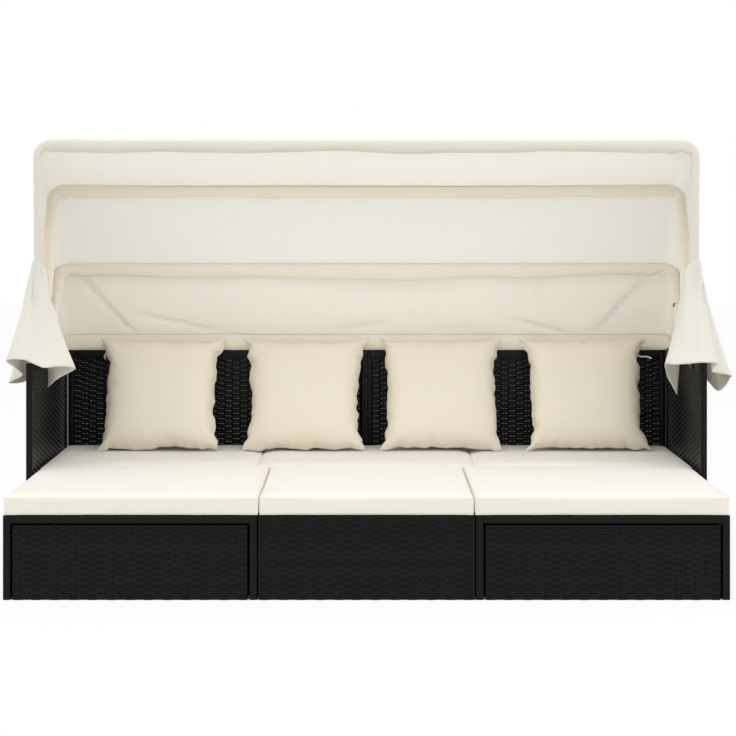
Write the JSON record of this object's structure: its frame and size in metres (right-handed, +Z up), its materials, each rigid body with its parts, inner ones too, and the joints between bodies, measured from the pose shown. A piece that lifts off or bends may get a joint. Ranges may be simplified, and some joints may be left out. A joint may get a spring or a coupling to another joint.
{
  "type": "outdoor daybed with canopy",
  "caption": "Wicker lounge with a folding cloth canopy on turning hoops, loose cushions and pillows, and footstools that close its front and hold smaller ones.",
  "frame": {"origin": "on the ground, under the middle of the outer box of the whole daybed", "axes": "+X to the right seen from the front, +Y to the back, +Z up"},
  "size_m": [2.1422, 1.0342, 1.2611],
  "materials": {
    "wicker": "woven flat strand of black synthetic rattan, satin",
    "painted_steel": "black powder coat, satin",
    "zinc": "bright zinc plating",
    "black_plastic": "moulded black plastic, matt",
    "cushion_cloth": "off-white plain-weave outdoor cloth",
    "pillow_cloth": "cream plain-weave outdoor cloth",
    "canopy_cloth": "off-white coated canopy cloth with matt sheen"
  },
  "bodies": {
    "lounge": {"left_arm_frame": "wicker", "left_arm_weave": "wicker", "left_front_glide": "black_plastic", "left_rear_glide": "black_plastic", "left_back_frame": "wicker", "left_back_weave": "wicker", "left_pivot_bracket": "painted_steel", "left_bracket_screw_1": "zinc", "left_bracket_screw_2": "zinc", "left_pivot_bolt": "zinc", "left_pivot_nut": "zinc", "left_rail_clip": "black_plastic", "right_arm_frame": "wicker", "right_arm_weave": "wicker", "right_front_glide": "black_plastic", "right_rear_glide": "black_plastic", "right_back_frame": "wicker", "right_back_weave": "wicker", "right_pivot_bracket": "painted_steel", "right_bracket_screw_1": "zinc", "right_bracket_screw_2": "zinc", "right_pivot_bolt": "zinc", "right_pivot_nut": "zinc", "right_rail_clip": "black_plastic", "seat_frame": "painted_steel", "seat_skin": "wicker", "left_seat_cushion": "cushion_cloth", "middle_seat_cushion": "cushion_cloth", "right_seat_cushion": "cushion_cloth", "far_left_pillow": "pillow_cloth", "near_left_pillow": "pillow_cloth", "near_right_pillow": "pillow_cloth", "far_right_pillow": "pillow_cloth", "rear_rail": "painted_steel"},
    "rear_hoop": {"rear_hoop": "painted_steel", "rear_canopy_panel": "canopy_cloth"},
    "middle_hoop": {"middle_hoop": "painted_steel", "middle_canopy_panel": "canopy_cloth"},
    "front_hoop": {"front_hoop": "painted_steel", "front_canopy_panel": "canopy_cloth", "left_skirt": "canopy_cloth", "right_skirt": "canopy_cloth"},
    "middle_stool": {"middle_stool_skin": "wicker", "middle_stool_frame": "painted_steel", "middle_stool_cushion": "cushion_cloth"},
    "left_stool": {"left_stool_outer_skin": "wicker", "left_stool_outer_frame": "painted_steel", "left_stool_cushion": "cushion_cloth"},
    "right_stool": {"right_stool_outer_skin": "wicker", "right_stool_outer_frame": "painted_steel", "right_stool_cushion": "cushion_cloth"},
    "left_nested_stool": {"left_nested_stool_skin": "wicker", "left_nested_stool_frame": "painted_steel"},
    "right_nested_stool": {"right_nested_stool_skin": "wicker", "right_nested_stool_frame": "painted_steel"}
  },
  "joints": [
    {"name": "canopy_rear_hinge", "type": "hinge", "parent": "lounge", "child": "rear_hoop", "pos_m": [0, 0.05315, 0.617], "axis": [-1, 0, 0], "range_deg": [0, 26], "deforming": ["rear_canopy_panel"]},
    {"name": "canopy_middle_hinge", "type": "hinge", "parent": "rear_hoop", "child": "middle_hoop", "pos_m": [0, 0.05315, 0.617], "axis": [-1, 0, 0], "range_deg": [0, 22.1], "deforming": ["middle_canopy_panel"]},
    {"name": "canopy_front_hinge", "type": "hinge", "parent": "middle_hoop", "child": "front_hoop", "pos_m": [0, 0.05315, 0.617], "axis": [-1, 0, 0], "range_deg": [0, 18.3], "deforming": ["front_canopy_panel", "left_skirt", "right_skirt"]},
    {"name": "middle_stool_slide", "type": "slide", "parent": "lounge", "child": "middle_stool", "axis": [0, -1, 0], "range_m": [0, 0.6]},
    {"name": "left_stool_slide", "type": "slide", "parent": "lounge", "child": "left_stool", "axis": [0, -1, 0], "range_m": [0, 0.6]},
    {"name": "right_stool_slide", "type": "slide", "parent": "lounge", "child": "right_stool", "axis": [0, -1, 0], "range_m": [0, 0.6]},
    {"name": "left_nested_stool_slide", "type": "slide", "parent": "left_stool", "child": "left_nested_stool", "axis": [0, -1, 0], "range_m": [0, 0.5]},
    {"name": "right_nested_stool_slide", "type": "slide", "parent": "right_stool", "child": "right_nested_stool", "axis": [0, -1, 0], "range_m": [0, 0.5]}
  ],
  "couplings": [
    {"joint": "canopy_middle_hinge", "follows": "canopy_rear_hinge", "ratio": 0.8462},
    {"joint": "canopy_front_hinge", "follows": "canopy_rear_hinge", "ratio": 0.7}
  ]
}
